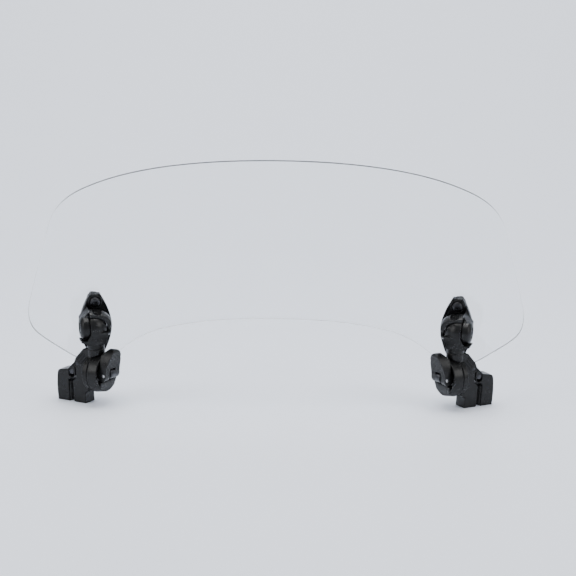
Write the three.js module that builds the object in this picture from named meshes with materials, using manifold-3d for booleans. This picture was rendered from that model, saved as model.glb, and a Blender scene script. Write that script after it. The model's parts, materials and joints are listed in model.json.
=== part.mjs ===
// Clip-on windscreen extension for a motorcycle: a clear bent screen carried by two mirrored quick clamps.
// Millimetres. +X to the rider's right, +Y forwards, +Z up. The rider looks at it from -Y.
// It stands on the feet of its clamp jaws at z = 0, with the middle of its bounding box on x = y = 0.
import * as THREE from "three";
import { mergeVertices } from "three/addons/utils/BufferGeometryUtils.js";
import Module from "manifold-3d";

const wasm = await Module();
wasm.setup();

// ---------------------------------------------------------------- driving dimensions
const RAD = Math.PI / 180;
const GAP = 0.3; // kept between neighbouring pieces

// Screen
const SCREEN_THICKNESS = 3;
const SCREEN_BEND_RADIUS = 600; // of the middle of the sheet
const SCREEN_LEAN = 12 * RAD; // its top leans towards the rider
const SCREEN_TOP = 135; // top edge above the mounting plates' centres, along the sheet
const SCREEN_ORIGIN_Z = 67.2; // height of the sheet's centre line at the plates' level
const PLATE_X = 148; // mounting plates' centres from the middle of the screen

// Mounting plate, in its own frame: origin on the sheet's rider side, -Y towards the rider
const PLATE_HALF_WIDTH = 13.2;
const PLATE_HALF_HEIGHT = 28;
const PLATE_TIP_HALF_WIDTH = 4.2;
const GASKET_FRONT = -0.5;
const GASKET_THICKNESS = 1.1;
const PLATE_FRONT = GASKET_FRONT - GASKET_THICKNESS - GAP;
const PLATE_BASE = 3; // thickness of its floor
const PLATE_FLOOR = PLATE_FRONT - PLATE_BASE;
const RIM_HEIGHT = 1.6;
const RIM_WIDTH = 1.3;
const SCREW_Z = 21.3; // screws above and below the plate's centre
const SCREW_BOSS_RADIUS = 5.6;
const SCREW_BOSS_HEIGHT = 2.2;

// Tilt joint, on the plate: its axis runs along the plate's X
const TILT_Y = -18;
const TILT_Z = 4.8;
const LUG_OUTER = -14.8;
const LUG_INNER = -7.3;
const LUG_RADIUS = 9.5;
const HEAD_INNER = LUG_INNER + GAP;
const HEAD_OUTER = 7.2;
const HEAD_RADIUS = 11.5;
const TILT_X = -2.5; // the swivel axis crosses the tilt axis here
const HOOD_THICKNESS = 2.4;
const HOOD_CLEARANCE = 0.7;
const HOOD_REACH = 6; // of its front edge over the knuckle, past the tilt axis
const LUG_LOW = -4.5; // foot of the lug's web, from the tilt axis

// Swivel joint, under the knuckle
const NECK_RADIUS = 7.2;
const NECK_LENGTH = 3.6; // its straight stretch, above the swivel joint
const SWIVEL_Z = -17.5; // where the knuckle ends, from the tilt axis
const SWIVEL_PIN_RADIUS = 3;
const SET_SCREW_Z = 2.45; // above the swivel joint

// Clamp, in its own frame: X is the clamping axis, pointing to the lever; Z is up the jaws
const CLAMP_YAW = 43.5 * RAD; // from the tilt axis to the clamping axis
const AXIS_FROM_SWIVEL = [-0.5, 20.3]; // swivel joint to clamping axis: towards the lever, then down
const JAW_WIDTH = 12.4;
const JAW_BOTTOM = -34; // below the floor, where both jaws are cut level
const LEG_FRONT = 0.4;
const DISC_BACK = -4.4;
const DISC_RADIUS = 15.2;
const INNER_FRONT = -8.6;
const INNER_BACK = -20.2;
const PAD_THICKNESS = 2;
const PAD_HALF_WIDTH = 4.8;
const PAD_SPAN = [-24.5, -8.5]; // its foot and top along the jaw
const PAD_RECESS = 1; // how deep a pad sits in its jaw
const JAW_GAP = 2.5; // between the pads, lever closed
const INNER_PAD_FACE = INNER_BACK - PAD_THICKNESS + PAD_RECESS;
const OUTER_PAD_FACE = INNER_PAD_FACE - JAW_GAP;
const OUTER_FRONT = OUTER_PAD_FACE - PAD_THICKNESS + PAD_RECESS;
const OUTER_BACK = OUTER_FRONT - 10.5;
const JAW_TOP = 1.2; // of the outer jaw's block
const JAW_NOSE = -17.6; // the outer jaw's front, above the gap

// Cam housing and lever
const HOUSING_RADIUS = 15.9;
const HOUSING_RIM_RADIUS = 14.9;
const HOUSING_BACK = LEG_FRONT + GAP;
const HOUSING_RIM = HOUSING_BACK + 8.6;
const HOUSING_FLOOR = HOUSING_BACK + 5.8;
const CUP_RADIUS = 13.2;
const CAM_HIGH = 6; // cam radius with the lever closed
const CAM_LOW = 4.5; // and open
const LEVER_PIN_X = HOUSING_FLOOR + CAM_HIGH + GAP;
const LEVER_OPEN = 95 * RAD;
const LEVER_HALF_WIDTH = 10;
const LEVER_TOP = 20.9;
const LEVER_BACK = [[15.3, 0.5], [15.5, 5.5], [18.9, 12.5], [21.2, 18.2]]; // curve of its outer face
const EYE_RADIUS = 2.8;
const EYE_HALF_WIDTH = 3;
const BOLT_RADIUS = 1.8;
const NUT_X = -21.5; // barrel nut in the outer jaw
const NUT_RADIUS = 2.4;
const NUT_HALF_LENGTH = 5.4;

// Hinge of the outer jaw, between two cheeks of the clamp frame: its pin lies along Y
const HINGE_X = -15.5;
const HINGE_Z = 6.8;
const CHEEK_RADIUS = 3.1;
const TONGUE_RADIUS = 2.6;
const TONGUE_HALF_WIDTH = 3.4;
const HINGE_PIN_RADIUS = 1.5;
const STRAP_HIGH = [-8.2, AXIS_FROM_SWIVEL[1]]; // the strap's back runs from the neck
const STRAP_BEND = [-16.4, 11.9]; // down to here, and in to the hinge
const STRAP_LOW = [-17.7, 8.9];

// ---------------------------------------------------------------- making solids
function solid(geometry) {
  const bare = geometry.index ? geometry.toNonIndexed() : geometry.clone();
  bare.deleteAttribute("normal");
  bare.deleteAttribute("uv");
  const merged = mergeVertices(bare, 1e-3);
  const corners = new Uint32Array(merged.index.array);
  const made = new wasm.Manifold(
    new wasm.Mesh({ numProp: 3, vertProperties: merged.attributes.position.array, triVerts: corners }),
  );
  if (made.volume() > 0) return made;
  corners.reverse();
  return new wasm.Manifold(
    new wasm.Mesh({ numProp: 3, vertProperties: merged.attributes.position.array, triVerts: corners }),
  );
}

function geometryOf(manifold) {
  const mesh = manifold.getMesh();
  const positions = new Float32Array(mesh.numVert * 3);
  for (let i = 0; i < mesh.numVert; i++) {
    positions.set(mesh.vertProperties.subarray(i * mesh.numProp, i * mesh.numProp + 3), i * 3);
  }
  const geometry = new THREE.BufferGeometry();
  geometry.setAttribute("position", new THREE.BufferAttribute(positions, 3));
  geometry.setIndex(new THREE.BufferAttribute(mesh.triVerts, 1));
  return geometry;
}

const joined = (...solids) => solids.reduce((a, b) => a.add(b));
const cut = (from, ...solids) => solids.reduce((a, b) => a.subtract(b), from);

// Turns a geometry made along Z so that it lies along the named axis.
function along(axis, geometry) {
  if (axis === "x") return geometry.rotateY(90 * RAD);
  if (axis === "y") return geometry.rotateX(-90 * RAD);
  return geometry;
}

function rod(axis, radius, from, to, at = [0, 0, 0], segments = 24, endRadius = radius) {
  const geometry = new THREE.CylinderGeometry(endRadius, radius, to - from, segments);
  geometry.rotateX(90 * RAD).translate(0, 0, (from + to) / 2);
  return solid(along(axis, geometry).translate(...at));
}

function block(x, y, z) {
  const geometry = new THREE.BoxGeometry(x[1] - x[0], y[1] - y[0], z[1] - z[0]);
  return solid(geometry.translate((x[0] + x[1]) / 2, (y[0] + y[1]) / 2, (z[0] + z[1]) / 2));
}

// A profile of [position, radius] pairs turned round the X axis, closed along that axis.
function turnedX(profile, at = [0, 0, 0], segments = 32, start = 0, sweep = 360 * RAD) {
  const points = profile.map(([x, r]) => new THREE.Vector2(r, x));
  const geometry = new THREE.LatheGeometry(points, segments, start, sweep).rotateZ(-90 * RAD);
  return solid(geometry.translate(...at));
}

// An outline in X and Z, extruded from y[0] to y[1].
function panelXZ(shape, y, curveSegments = 10) {
  const geometry = new THREE.ExtrudeGeometry(shape, { depth: y[1] - y[0], bevelEnabled: false, curveSegments });
  return solid(geometry.rotateX(90 * RAD).translate(0, y[1], 0));
}

function polygon(points) {
  return new THREE.Shape(points.map(([x, y]) => new THREE.Vector2(x, y)));
}

const MATERIALS = {
  screen: { color: 0xf2f6f8, roughness: 0.05, metalness: 0, transparent: true, opacity: 0.2 },
  black: { color: 0x16181a, roughness: 0.4, metalness: 0 },
  rubber: { color: 0x0e0e0f, roughness: 0.85, metalness: 0 },
  steel: { color: 0x2a2c2e, roughness: 0.35, metalness: 1 },
  bright: { color: 0xb9bcc0, roughness: 0.3, metalness: 1 },
};

function mesh(name, manifold, finish) {
  const made = new THREE.Mesh(geometryOf(manifold), new THREE.MeshStandardMaterial(MATERIALS[finish]));
  made.name = name;
  return made;
}

// ---------------------------------------------------------------- fasteners, head towards -Y or -X
// Button-head screw along Y: its head sits from y = head to the rider, its shank runs forwards.
function buttonScrew(headFace, shankEnd) {
  const headHeight = 2.6;
  const head = turnedX([[0, 0], [0, 2.6], [0.9, 4], [headHeight, 4.4], [headHeight, 0]], [0, 0, 0], 20);
  const shank = rod("x", 2.4, headHeight - 0.1, shankEnd - headFace, [0, 0, 0], 12);
  const socket = rod("x", 1.5, -1, 1.5, [0, 0, 0], 6);
  return cut(joined(head, shank), socket).rotate([0, 0, 90]).translate([0, headFace, 0]);
}

function capNut(face) {
  const nutHeight = 3.6;
  const hex = rod("y", 4.4, face, face + nutHeight, [0, 0, 0], 6);
  const dome = turnedX([[0, 0], [0, 3.6], [1.6, 3], [2.6, 1.6], [2.9, 0]], [0, 0, 0], 16);
  const bore = rod("y", 2.7, face - 1, face + nutHeight - 0.4, [0, 0, 0], 16);
  return cut(joined(hex, dome.rotate([0, 0, 90]).translate([0, face + nutHeight - 0.1, 0])), bore);
}

// ---------------------------------------------------------------- screen
// Half of the outline from the top centre round to the bottom centre; z runs from the top edge down.
function screenOutline() {
  const shape = new THREE.Shape();
  const curves = [
    [[70, 0], [117, -4.5], [148.5, -16]],
    [[169, -23], [177, -32.5], [181.5, -46.5]],
    [[186, -65], [192.5, -86], [197, -105]],
    [[201, -119], [201, -131], [191.5, -140.5]],
    [[186, -146.5], [177.5, -153.5], [170, -160]],
    [[157, -171], [143, -174], [130.5, -164]],
    [[119, -154], [105, -146], [88.5, -144]],
    [[62, -139], [30, -138.5], [0, -138.5]],
  ];
  shape.moveTo(0, 0);
  for (const [a, b, c] of curves) shape.bezierCurveTo(...a, ...b, ...c);
  const back = curves.map(([a, b, c], i) => [b, a, i ? curves[i - 1][2] : [0, 0]]).reverse();
  for (const curve of back) shape.bezierCurveTo(...curve.flatMap(([x, z]) => [-x, z]));
  return shape;
}

function screenPanel(holes) {
  const outer = SCREEN_BEND_RADIUS + SCREEN_THICKNESS / 2;
  const inner = SCREEN_BEND_RADIUS - SCREEN_THICKNESS / 2;
  const half = 21 * RAD;
  const bow = new THREE.Shape();
  bow.absarc(0, 0, outer, 90 * RAD - half, 90 * RAD + half, false);
  bow.absarc(0, 0, inner, 90 * RAD + half, 90 * RAD - half, true);
  const sheetGeometry = new THREE.ExtrudeGeometry(bow, { depth: 200, bevelEnabled: false, curveSegments: 34 });
  const sheet = solid(sheetGeometry.translate(0, -SCREEN_BEND_RADIUS, -50));
  const outline = panelXZ(screenOutline(), [-80, 20], 9).translate([0, 0, SCREEN_TOP]);
  return cut(sheet.intersect(outline), ...holes);
}

// ---------------------------------------------------------------- mounting plate and its fixings
function plateOutline(inset = 0, heightInset = inset) {
  const w = PLATE_HALF_WIDTH - inset;
  const h = PLATE_HALF_HEIGHT - heightInset;
  const tip = PLATE_TIP_HALF_WIDTH - inset * 0.45;
  const shape = new THREE.Shape();
  shape.moveTo(w, 0);
  shape.bezierCurveTo(w, 0.35 * h, 0.66 * w, 0.71 * h, tip, h);
  shape.lineTo(-tip, h);
  shape.bezierCurveTo(-0.66 * w, 0.71 * h, -w, 0.35 * h, -w, 0);
  shape.bezierCurveTo(-w, -0.35 * h, -0.66 * w, -0.71 * h, -tip, -h);
  shape.lineTo(tip, -h);
  shape.bezierCurveTo(0.66 * w, -0.71 * h, w, -0.35 * h, w, 0);
  return shape;
}

// The knuckle's head is a dome about the tilt axis: [x, radius] from the lug to its outer end.
function headProfile(grow = 0) {
  const arc = [];
  const steps = 4;
  const length = HEAD_OUTER - HEAD_INNER - 3;
  for (let i = 0; i <= steps; i++) {
    const turn = (i / steps) * 68 * RAD;
    arc.push([HEAD_INNER + 3 + (length + grow) * Math.sin(turn) / Math.sin(68 * RAD),
      HEAD_RADIUS * Math.cos(turn) + grow]);
  }
  return [[HEAD_INNER, HEAD_RADIUS + grow], ...arc];
}

function lugProfile(grow = 0) {
  const arc = [];
  const steps = 3;
  for (let i = steps; i >= 0; i--) {
    const turn = (i / steps) * 48 * RAD;
    arc.push([LUG_INNER - 4 - (LUG_INNER - 4 - LUG_OUTER + grow) * Math.sin(turn) / Math.sin(48 * RAD),
      LUG_RADIUS * Math.cos(turn) + grow]);
  }
  return [...arc, [LUG_INNER, LUG_RADIUS + grow]];
}

// A shell round the upper half of the knuckle's head, and a cheek that goes on down its outer side.
function hood(profileOf) {
  const start = HOOD_CLEARANCE;
  const outline = [...profileOf(start), ...profileOf(start + HOOD_THICKNESS).reverse()];
  const ring = turnedX([...outline, outline[0]], [0, TILT_Y, TILT_Z], 32);
  const upper = block([-40, 40], [TILT_Y - HOOD_REACH, PLATE_FLOOR], [TILT_Z, 40]);
  const inner = HEAD_OUTER + HOOD_CLEARANCE;
  const outer = inner + HOOD_THICKNESS;
  const front = polygon([
    [inner, 0.5], [outer, 0.5], [outer - 0.1, -5], [outer - 0.9, -12.5], [inner, -12.5],
  ]);
  const side = new THREE.Shape();
  side.moveTo(PLATE_FLOOR, 0.5);
  side.lineTo(TILT_Y - 5, 0.5);
  side.bezierCurveTo(TILT_Y - 5, -6, TILT_Y + 1, -11, PLATE_FLOOR, -12.5);
  const sides = panelXZ(side, [-30, 0]).rotate([0, 0, 90]);
  const cheek = panelXZ(front, [-40, PLATE_FLOOR + 0.1]).intersect(sides);
  return joined(ring.intersect(upper), cheek.translate([0, 0, TILT_Z]));
}

function mountPlate() {
  const floor = panelXZ(plateOutline(), [PLATE_FLOOR, PLATE_FRONT]);
  const wall = panelXZ(plateOutline(), [PLATE_FLOOR - RIM_HEIGHT, PLATE_FLOOR + 0.1]);
  const hollow = panelXZ(plateOutline(RIM_WIDTH), [PLATE_FLOOR - 20, PLATE_FLOOR]);
  const rim = wall.subtract(hollow);
  const boss = (z) => rod("y", SCREW_BOSS_RADIUS, PLATE_FLOOR - SCREW_BOSS_HEIGHT, PLATE_FLOOR + 0.1, [0, 0, z]);
  const at = [0, TILT_Y, TILT_Z];
  const lug = turnedX([[LUG_OUTER, 0], ...lugProfile(), [LUG_INNER, 0]], at);
  const flank = polygon([
    [LUG_INNER + 0.5, 13.8], [LUG_OUTER + 1.2, 4.5], [LUG_OUTER + 1.2, 0], [LUG_OUTER + 3.5, LUG_LOW],
    [LUG_INNER, LUG_LOW],
  ]);
  const web = panelXZ(flank, [TILT_Y, PLATE_FLOOR + 0.1]).translate([0, 0, TILT_Z]);
  const headRoom = turnedX([[HEAD_INNER - GAP, 0], ...headProfile(HOOD_CLEARANCE), [HEAD_OUTER + 1, 0]], at);
  const counterbore = rod("x", 5, LUG_OUTER - 1, LUG_OUTER + 3.4, at);
  const bore = rod("x", 2.7, LUG_OUTER - 1, LUG_INNER + 1, at, 20);
  const screwHole = (z) => rod("y", 2.7, PLATE_FLOOR - 10, PLATE_FRONT + 1, [0, 0, z], 20);
  const screwSeat = (z) => rod("y", 4.8, PLATE_FLOOR - 20, PLATE_FLOOR - SCREW_BOSS_HEIGHT + 1.4, [0, 0, z]);
  const solidPlate = joined(floor, rim, boss(SCREW_Z), boss(-SCREW_Z), lug, web, hood(headProfile));
  return cut(solidPlate, headRoom, counterbore, bore, screwHole(SCREW_Z), screwHole(-SCREW_Z),
    screwSeat(SCREW_Z), screwSeat(-SCREW_Z));
}

function gasket() {
  const sheet = panelXZ(plateOutline(0.6), [GASKET_FRONT - GASKET_THICKNESS, GASKET_FRONT], 8);
  const hole = (z) => rod("y", 2.9, -10, 10, [0, 0, z], 16);
  return cut(sheet, hole(SCREW_Z), hole(-SCREW_Z));
}

// ---------------------------------------------------------------- knuckle, from the crossing of its two axes
function knuckle() {
  const at = [-TILT_X, 0, 0];
  const headEnd = HEAD_OUTER - TILT_X - 0.3;
  const neckTop = SWIVEL_Z + NECK_LENGTH;
  const head = turnedX([[HEAD_INNER, 0], ...headProfile(), [HEAD_OUTER, 0]], at);
  const front = new THREE.Shape();
  front.moveTo(-NECK_RADIUS, SWIVEL_Z);
  front.lineTo(-NECK_RADIUS, neckTop);
  front.bezierCurveTo(-NECK_RADIUS - 1, -12, -11.4, -11.6, -12.4, -10.6);
  front.lineTo(-12.4, -9.6);
  front.lineTo(-NECK_RADIUS, -9.6);
  front.lineTo(-NECK_RADIUS + 3, -3);
  front.lineTo(headEnd, -3);
  front.bezierCurveTo(headEnd, -8, NECK_RADIUS + 0.6, -10.5, NECK_RADIUS, neckTop);
  front.lineTo(NECK_RADIUS, SWIVEL_Z);
  const side = new THREE.Shape();
  side.moveTo(-NECK_RADIUS, SWIVEL_Z);
  side.lineTo(-NECK_RADIUS, neckTop);
  side.bezierCurveTo(-NECK_RADIUS - 0.4, -10, -10, -7, -11.2, -2.6);
  side.lineTo(-11.2, 0);
  side.lineTo(11.2, 0);
  side.lineTo(11.2, -2.6);
  side.bezierCurveTo(10, -7, NECK_RADIUS + 0.4, -10, NECK_RADIUS, neckTop);
  side.lineTo(NECK_RADIUS, SWIVEL_Z);
  const frontPrism = panelXZ(front, [-15, 15], 6);
  const sidePrism = panelXZ(side, [-15, 15], 6).rotate([0, 0, 90]);
  const neck = rod("z", NECK_RADIUS, SWIVEL_Z, SWIVEL_Z + 9, [0, 0, 0], 28);
  const body = joined(head, frontPrism.intersect(sidePrism));
  const corners = block([-20, 20], [-20, 20], [SWIVEL_Z - 1, neckTop]).subtract(neck);
  const lugRoom = rod("x", LUG_RADIUS + 0.8, -20, HEAD_INNER - TILT_X, [0, 0, 0], 36);
  const bore = rod("x", 2.7, -30, 30, [0, 0, 0], 20);
  const nutPocket = rod("x", 4.8, HEAD_OUTER - TILT_X - 4.4, 30, [0, 0, 0], 6);
  const pinHole = rod("z", SWIVEL_PIN_RADIUS + 0.1, SWIVEL_Z - 1, SWIVEL_Z + 7, [0, 0, 0], 20);
  const setScrewHole = rod("y", 1.5, 2.5, 14, [0, 0, SWIVEL_Z + SET_SCREW_Z], 12);
  return cut(body, corners, lugRoom, bore, nutPocket, pinHole, setScrewHole);
}

function tiltScrew() {
  const headFace = LUG_OUTER + 0.4;
  const screw = buttonScrew(0, HEAD_OUTER - 0.6 - headFace).rotate([0, 0, -90]);
  return screw.translate([headFace, 0, 0]);
}

function tiltNut() {
  const from = HEAD_OUTER - 4.1;
  return cut(rod("x", 4.4, from, from + 3.4, [0, 0, 0], 6), rod("x", 2.6, from - 1, from + 5, [0, 0, 0], 16));
}

// The swivel pin stands in the clamp; a set screw in the knuckle runs in its groove and brakes it.
function swivelPin() {
  const groove = cut(rod("z", 6, 0.9, 4, [0, 0, 0], 16), rod("z", 2.1, -1, 6, [0, 0, 0], 20));
  return cut(rod("z", SWIVEL_PIN_RADIUS, -2.6, 6.2, [0, 0, 0], 20), groove);
}

function setScrew() {
  const grub = rod("y", 1.3, 2.5, 5.9, [0, 0, SET_SCREW_Z], 12);
  return cut(grub, rod("y", 0.7, 4.9, 7, [0, 0, SET_SCREW_Z], 6));
}

// ---------------------------------------------------------------- clamp
// From the clamp's frame to the swivel joint's frame, whose origin is where the knuckle ends.
const clampTurn = new THREE.Matrix4().makeRotationZ(-CLAMP_YAW);
const clampOrigin = new THREE.Vector3(AXIS_FROM_SWIVEL[0], 0, -AXIS_FROM_SWIVEL[1]).applyMatrix4(clampTurn);
const clampFromSwivel = clampTurn.clone().setPosition(clampOrigin);
const swivelInClamp = clampFromSwivel.clone().invert();

// A solid made in the swivel joint's frame, as the clamp's frame sees it.
function fromSwivel(geometry) {
  return solid(geometry.applyMatrix4(swivelInClamp));
}

function swivelBoss(radius, from, to, segments) {
  return fromSwivel(new THREE.CylinderGeometry(radius, radius, to - from, segments)
    .rotateX(90 * RAD).translate(0, 0, (from + to) / 2));
}

function clampFrame(floorCutter) {
  const side = polygon([
    [LEG_FRONT, AXIS_FROM_SWIVEL[1]], [LEG_FRONT, -12.5], [-4.6, -14.5], [INNER_FRONT, -17],
    [INNER_FRONT, JAW_BOTTOM], [INNER_BACK, JAW_BOTTOM], [INNER_BACK, -7.6], [-16.6, -4.4], [-16.6, 4.5],
    STRAP_LOW, STRAP_BEND, STRAP_HIGH,
  ]);
  const body = panelXZ(side, [-JAW_WIDTH / 2, JAW_WIDTH / 2]);
  const ear = rod("y", CHEEK_RADIUS, -JAW_WIDTH / 2, JAW_WIDTH / 2, [HINGE_X, 0, HINGE_Z]);
  const tongueEdge = HINGE_X + TONGUE_RADIUS + 0.6;
  const tongueRoom = block([-30, tongueEdge], [-TONGUE_HALF_WIDTH - GAP, TONGUE_HALF_WIDTH + GAP], [-2, 20]);
  const aboveSwivel = fromSwivel(new THREE.BoxGeometry(60, 60, 30).translate(0, 0, 15 - GAP / 2));
  const disc = rod("x", DISC_RADIUS, DISC_BACK, LEG_FRONT, [0, 0, 0], 36);
  const ringRoom = rod("x", HOUSING_RADIUS + GAP, LEG_FRONT, 30, [0, 0, 0], 40);
  const boss = swivelBoss(NECK_RADIUS, -9, -GAP / 2, 28).subtract(ringRoom);
  const boltHole = rod("x", BOLT_RADIUS + 0.35, -30, 30, [0, 0, 0], 20);
  const padSeat = padRoom([INNER_BACK - 1, INNER_BACK + PAD_RECESS]);
  const hingeHole = rod("y", HINGE_PIN_RADIUS + 0.1, -20, 20, [HINGE_X, 0, HINGE_Z], 16);
  const pinHole = swivelBoss(SWIVEL_PIN_RADIUS + 0.1, -2.9, 2, 20);
  return cut(joined(body, ear, disc, boss), tongueRoom, aboveSwivel, boltHole, padSeat, hingeHole,
    pinHole, floorCutter);
}

function padRoom(x) {
  const side = PAD_HALF_WIDTH + GAP;
  return block(x, [-side, side], [PAD_SPAN[0] - GAP, PAD_SPAN[1] + GAP]);
}

function pad(face, direction) {
  const faces = [face, face + direction * PAD_THICKNESS].sort((a, b) => a - b);
  const sheet = block(faces, [-PAD_HALF_WIDTH, PAD_HALF_WIDTH], PAD_SPAN);
  const grooves = [-10.5, -13.5, -19.5, -22.5].map((z) => block([face - 0.4, face + 0.4], [-7, 7], [z - 0.4, z + 0.4]));
  return cut(sheet, ...grooves);
}

function outerJaw(floorCutter) {
  const profile = new THREE.Shape();
  profile.moveTo(OUTER_FRONT, JAW_BOTTOM);
  profile.lineTo(OUTER_FRONT, -6.5);
  profile.lineTo(JAW_NOSE, -3.2);
  profile.lineTo(JAW_NOSE, STRAP_LOW[1] - 0.1);
  profile.lineTo(-24.8, JAW_TOP + 1);
  profile.lineTo(OUTER_BACK + 3, JAW_TOP);
  profile.bezierCurveTo(OUTER_BACK + 1, JAW_TOP, OUTER_BACK, JAW_TOP - 1.5, OUTER_BACK - 0.5, JAW_TOP - 5);
  profile.bezierCurveTo(OUTER_BACK - 1.8, -13, OUTER_BACK - 1.6, -22, OUTER_BACK + 0.6, JAW_BOTTOM);
  const body = panelXZ(profile, [-JAW_WIDTH / 2, JAW_WIDTH / 2]);
  const cheekRoom = rod("y", CHEEK_RADIUS + 0.4, -20, 20, [HINGE_X, 0, HINGE_Z], 28);
  const eye = rod("y", TONGUE_RADIUS, -TONGUE_HALF_WIDTH, TONGUE_HALF_WIDTH, [HINGE_X, 0, HINGE_Z]);
  const tongue = panelXZ(polygon([
    [HINGE_X - 0.4, HINGE_Z + TONGUE_RADIUS - 0.2], [-19.3, 6.9], [-21, 3.6], [JAW_NOSE, 2.4],
    [HINGE_X + 1, HINGE_Z - 2.3],
  ]), [-TONGUE_HALF_WIDTH, TONGUE_HALF_WIDTH]);
  const hingeHole = rod("y", HINGE_PIN_RADIUS + 0.1, -20, 20, [HINGE_X, 0, HINGE_Z], 16);
  const nutHole = (z) => rod("y", NUT_RADIUS + 0.3, -20, 20, [NUT_X + 0.1, 0, z], 24);
  const boltHole = (z) => rod("x", BOLT_RADIUS + 0.35, NUT_X, 0, [0, 0, z], 20);
  const padSeat = padRoom([OUTER_FRONT - PAD_RECESS, OUTER_FRONT + 1]);
  return cut(joined(cut(body, cheekRoom), eye, tongue), hingeHole, nutHole(0), nutHole(-0.8), nutHole(-1.7),
    boltHole(0.6), boltHole(-0.9), boltHole(-2.4), padSeat, floorCutter);
}

function hingePin() {
  return rod("y", HINGE_PIN_RADIUS, -JAW_WIDTH / 2 + GAP, JAW_WIDTH / 2 - GAP, [HINGE_X, 0, HINGE_Z], 16);
}

function barrelNut() {
  const barrel = rod("y", NUT_RADIUS, -NUT_HALF_LENGTH, NUT_HALF_LENGTH, [NUT_X, 0, 0], 24);
  return cut(barrel, rod("x", BOLT_RADIUS + 0.3, NUT_X - 1.4, NUT_X + 10, [0, 0, 0], 20));
}

function drawBolt() {
  const shank = rod("x", BOLT_RADIUS, NUT_X - 1.1, LEVER_PIN_X, [0, 0, 0], 20);
  const eye = rod("y", EYE_RADIUS + 1, -EYE_HALF_WIDTH, EYE_HALF_WIDTH, [LEVER_PIN_X, 0, 0], 24);
  return cut(joined(shank, eye), rod("y", 1.75, -20, 20, [LEVER_PIN_X, 0, 0], 16));
}

function camHousing() {
  const cup = rod("x", HOUSING_RADIUS, HOUSING_BACK, HOUSING_RIM, [0, 0, 0], 40, HOUSING_RIM_RADIUS);
  const hollow = rod("x", CUP_RADIUS, HOUSING_FLOOR, HOUSING_RIM + 1, [0, 0, 0], 36);
  const fin = new THREE.Shape();
  fin.moveTo(HOUSING_FLOOR - 0.5, -5.5);
  fin.lineTo(HOUSING_FLOOR + 4.4, -5.5);
  fin.bezierCurveTo(12.2, -7, 10.6, -10.5, HOUSING_RIM, -14);
  fin.lineTo(HOUSING_FLOOR - 0.5, -14);
  const cover = panelXZ(fin, [-LEVER_HALF_WIDTH, LEVER_HALF_WIDTH]);
  const round = rod("x", HOUSING_RIM_RADIUS, HOUSING_BACK, 30, [0, 0, 0], 40);
  const boltHole = rod("x", BOLT_RADIUS + 0.35, -10, 30, [0, 0, 0], 20);
  const camRoom = rod("y", CAM_HIGH + 0.5, -20, 20, [LEVER_PIN_X, 0, 0], 32);
  const upper = block([-10, 30], [-20, 20], [-5, 20]);
  return cut(joined(cut(cup, hollow), cut(cover.intersect(round), camRoom.subtract(upper))), boltHole);
}

// The cam's radius falls from CAM_HIGH towards the housing to CAM_LOW at its foot.
function leverProfile() {
  const points = [];
  const steps = 10;
  for (let i = 0; i <= steps; i++) {
    const share = i / steps;
    const radius = CAM_HIGH + (CAM_LOW - CAM_HIGH) * share;
    const turn = 180 * RAD + share * LEVER_OPEN;
    points.push([LEVER_PIN_X + radius * Math.cos(turn), radius * Math.sin(turn)]);
  }
  const shape = polygon(points);
  shape.bezierCurveTo(LEVER_PIN_X + 2, -3.2, ...LEVER_BACK[0].map((n, i) => (i ? n - 2 : n)), ...LEVER_BACK[0]);
  shape.bezierCurveTo(...LEVER_BACK.slice(1).flat());
  shape.bezierCurveTo(21.9, LEVER_TOP - 0.6, 21.2, LEVER_TOP, 19.6, LEVER_TOP);
  shape.lineTo(14.6, LEVER_TOP);
  shape.lineTo(HOUSING_RIM + 0.5, LEVER_TOP - 4.6);
  shape.lineTo(HOUSING_RIM + 0.5, 6);
  shape.lineTo(LEVER_PIN_X - CAM_HIGH + 0.4, 2.2);
  return shape;
}

function camLever() {
  const body = panelXZ(leverProfile(), [-LEVER_HALF_WIDTH, LEVER_HALF_WIDTH], 6);
  const plan = new THREE.Shape();
  plan.moveTo(-LEVER_HALF_WIDTH, -10);
  plan.lineTo(-LEVER_HALF_WIDTH, 5);
  plan.bezierCurveTo(-LEVER_HALF_WIDTH, 15, -6.5, LEVER_TOP, 0, LEVER_TOP);
  plan.bezierCurveTo(6.5, LEVER_TOP, LEVER_HALF_WIDTH, 15, LEVER_HALF_WIDTH, 5);
  plan.lineTo(LEVER_HALF_WIDTH, -10);
  const rounded = panelXZ(plan, [-5, 30], 8).rotate([0, 0, -90]);
  const slot = block([0, 40], [-EYE_HALF_WIDTH - 0.4, EYE_HALF_WIDTH + 0.4], [-10, 4.6]);
  const pinHole = rod("y", 1.75, -20, 20, [LEVER_PIN_X, 0, 0], 16);
  const back = new THREE.CubicBezierCurve(...LEVER_BACK.map(([x, z]) => new THREE.Vector2(x, z)));
  const grooves = [0.2, 0.35, 0.5, 0.65, 0.8].map((share) => {
    const { x, y } = back.getPoint(share);
    return rod("y", 0.55, -20, 20, [x + 0.2, 0, y], 6);
  });
  return cut(body.intersect(rounded), slot, pinHole, ...grooves);
}

function leverPin() {
  return rod("y", 1.6, -LEVER_HALF_WIDTH + 0.4, LEVER_HALF_WIDTH - 0.4, [LEVER_PIN_X, 0, 0], 16);
}

// ---------------------------------------------------------------- assembly
function onMatrix(group, matrix) {
  matrix.decompose(group.position, group.quaternion, group.scale);
  return group;
}

const bendInner = SCREEN_BEND_RADIUS - SCREEN_THICKNESS / 2;
const plateTurn = Math.asin(PLATE_X / bendInner);

function screenFrame() {
  const frame = new THREE.Group();
  frame.position.z = SCREEN_ORIGIN_Z;
  frame.rotation.x = SCREEN_LEAN;
  return frame;
}

function plateFrame() {
  const frame = new THREE.Group();
  frame.position.set(-PLATE_X, Math.sqrt(bendInner ** 2 - PLATE_X ** 2) - SCREEN_BEND_RADIUS, 0);
  frame.rotation.z = plateTurn;
  return frame;
}

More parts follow.
